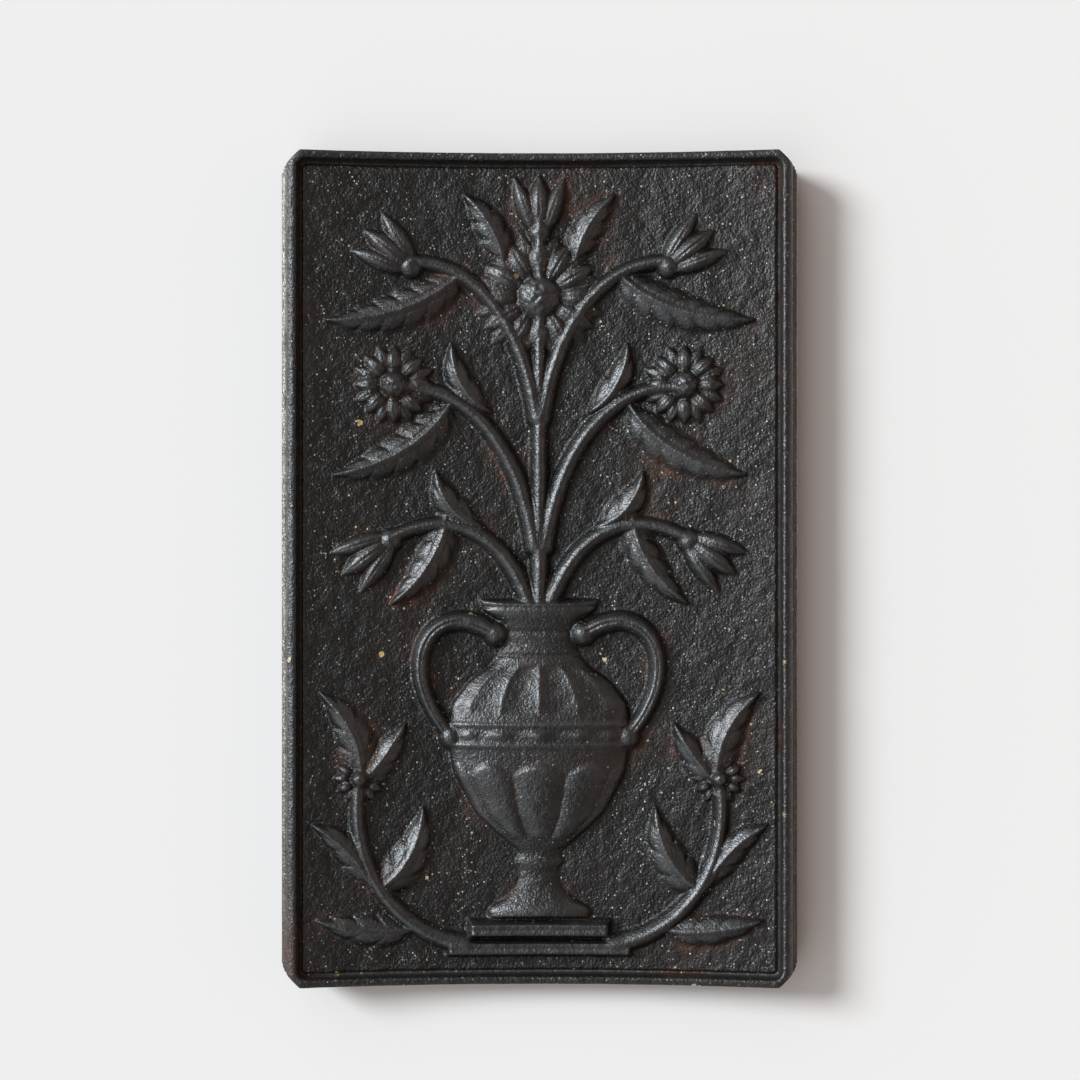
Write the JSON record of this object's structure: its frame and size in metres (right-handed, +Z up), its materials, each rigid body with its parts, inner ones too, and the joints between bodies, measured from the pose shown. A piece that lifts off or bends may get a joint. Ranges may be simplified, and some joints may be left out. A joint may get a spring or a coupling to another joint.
{
  "type": "fireback",
  "caption": "Portrait cast-iron fireback with clipped corners, beaded edge, hollow-curved face with an urn-of-flowers relief, and folding prop stays hinged on its back.",
  "frame": {"origin": "middle of the plate's width and depth, on the plane of its bottom edge", "axes": "+X across the plate, to the right seen from its face; +Y from the face to the wall behind it; +Z up from the hearth"},
  "size_m": [0.4, 0.04, 0.644],
  "materials": {
    "cast_iron": "sand-cast, graphite-blacked, satin on the raised forms",
    "blackened_steel": "hot-rolled steel, blackened, worn at the edges",
    "zinc_steel": "zinc-plated fasteners, dulled"
  },
  "bodies": {
    "plate": {"plate": "cast_iron", "bracket_left": "blackened_steel", "screw_left_upper": "zinc_steel", "screw_left_lower_inner": "zinc_steel", "screw_left_lower_outer": "zinc_steel", "pivot_bolt_left": "zinc_steel", "pivot_nut_left": "zinc_steel", "pivot_washer_left_head": "zinc_steel", "pivot_washer_left_nut": "zinc_steel", "bracket_right": "blackened_steel", "screw_right_upper": "zinc_steel", "screw_right_lower_inner": "zinc_steel", "screw_right_lower_outer": "zinc_steel", "pivot_bolt_right": "zinc_steel", "pivot_nut_right": "zinc_steel", "pivot_washer_right_head": "zinc_steel", "pivot_washer_right_nut": "zinc_steel"},
    "stay_left": {"stay_left": "blackened_steel"},
    "stay_right": {"stay_right": "blackened_steel"}
  },
  "joints": [
    {"name": "stay_left_fold", "type": "hinge", "parent": "plate", "child": "stay_left", "pos_m": [-0.135, 0.01346, 0.43], "axis": [1, 0, 0], "range_deg": [0, 20]},
    {"name": "stay_right_fold", "type": "hinge", "parent": "plate", "child": "stay_right", "pos_m": [0.135, 0.01346, 0.43], "axis": [1, 0, 0], "range_deg": [0, 20]}
  ]
}
